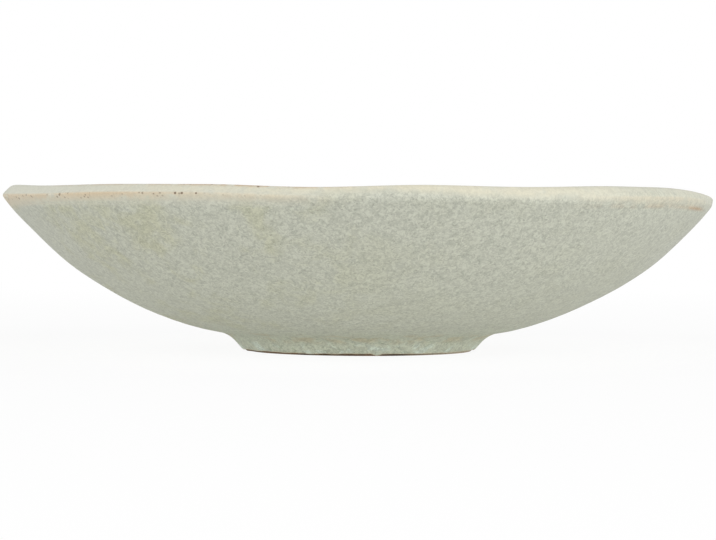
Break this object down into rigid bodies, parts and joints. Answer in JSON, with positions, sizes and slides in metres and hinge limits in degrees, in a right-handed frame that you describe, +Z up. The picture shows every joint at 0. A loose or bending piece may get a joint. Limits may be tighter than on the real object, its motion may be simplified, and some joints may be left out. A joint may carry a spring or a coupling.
{
  "type": "ikebana suiban",
  "caption": "Wide, shallow flared stoneware bowl on a low foot ring, with a rounded, slightly uneven lip and satin celadon glaze inside and out, made to hold water and a flower-pin holder.",
  "frame": {"origin": "centre of the plane that the foot ring stands on", "axes": "+Z up along the axis of the bowl, -Y towards the viewer of the picture, +X to the viewer's right"},
  "size_m": [0.2796, 0.2804, 0.0651],
  "materials": {
    "stoneware": "matte",
    "glaze": "satin"
  },
  "bodies": {
    "root": {"bowl_body": "stoneware", "foot_ring": "stoneware", "outer_glaze": "glaze", "inner_glaze": "glaze", "foot_well_glaze": "glaze"}
  },
  "joints": []
}
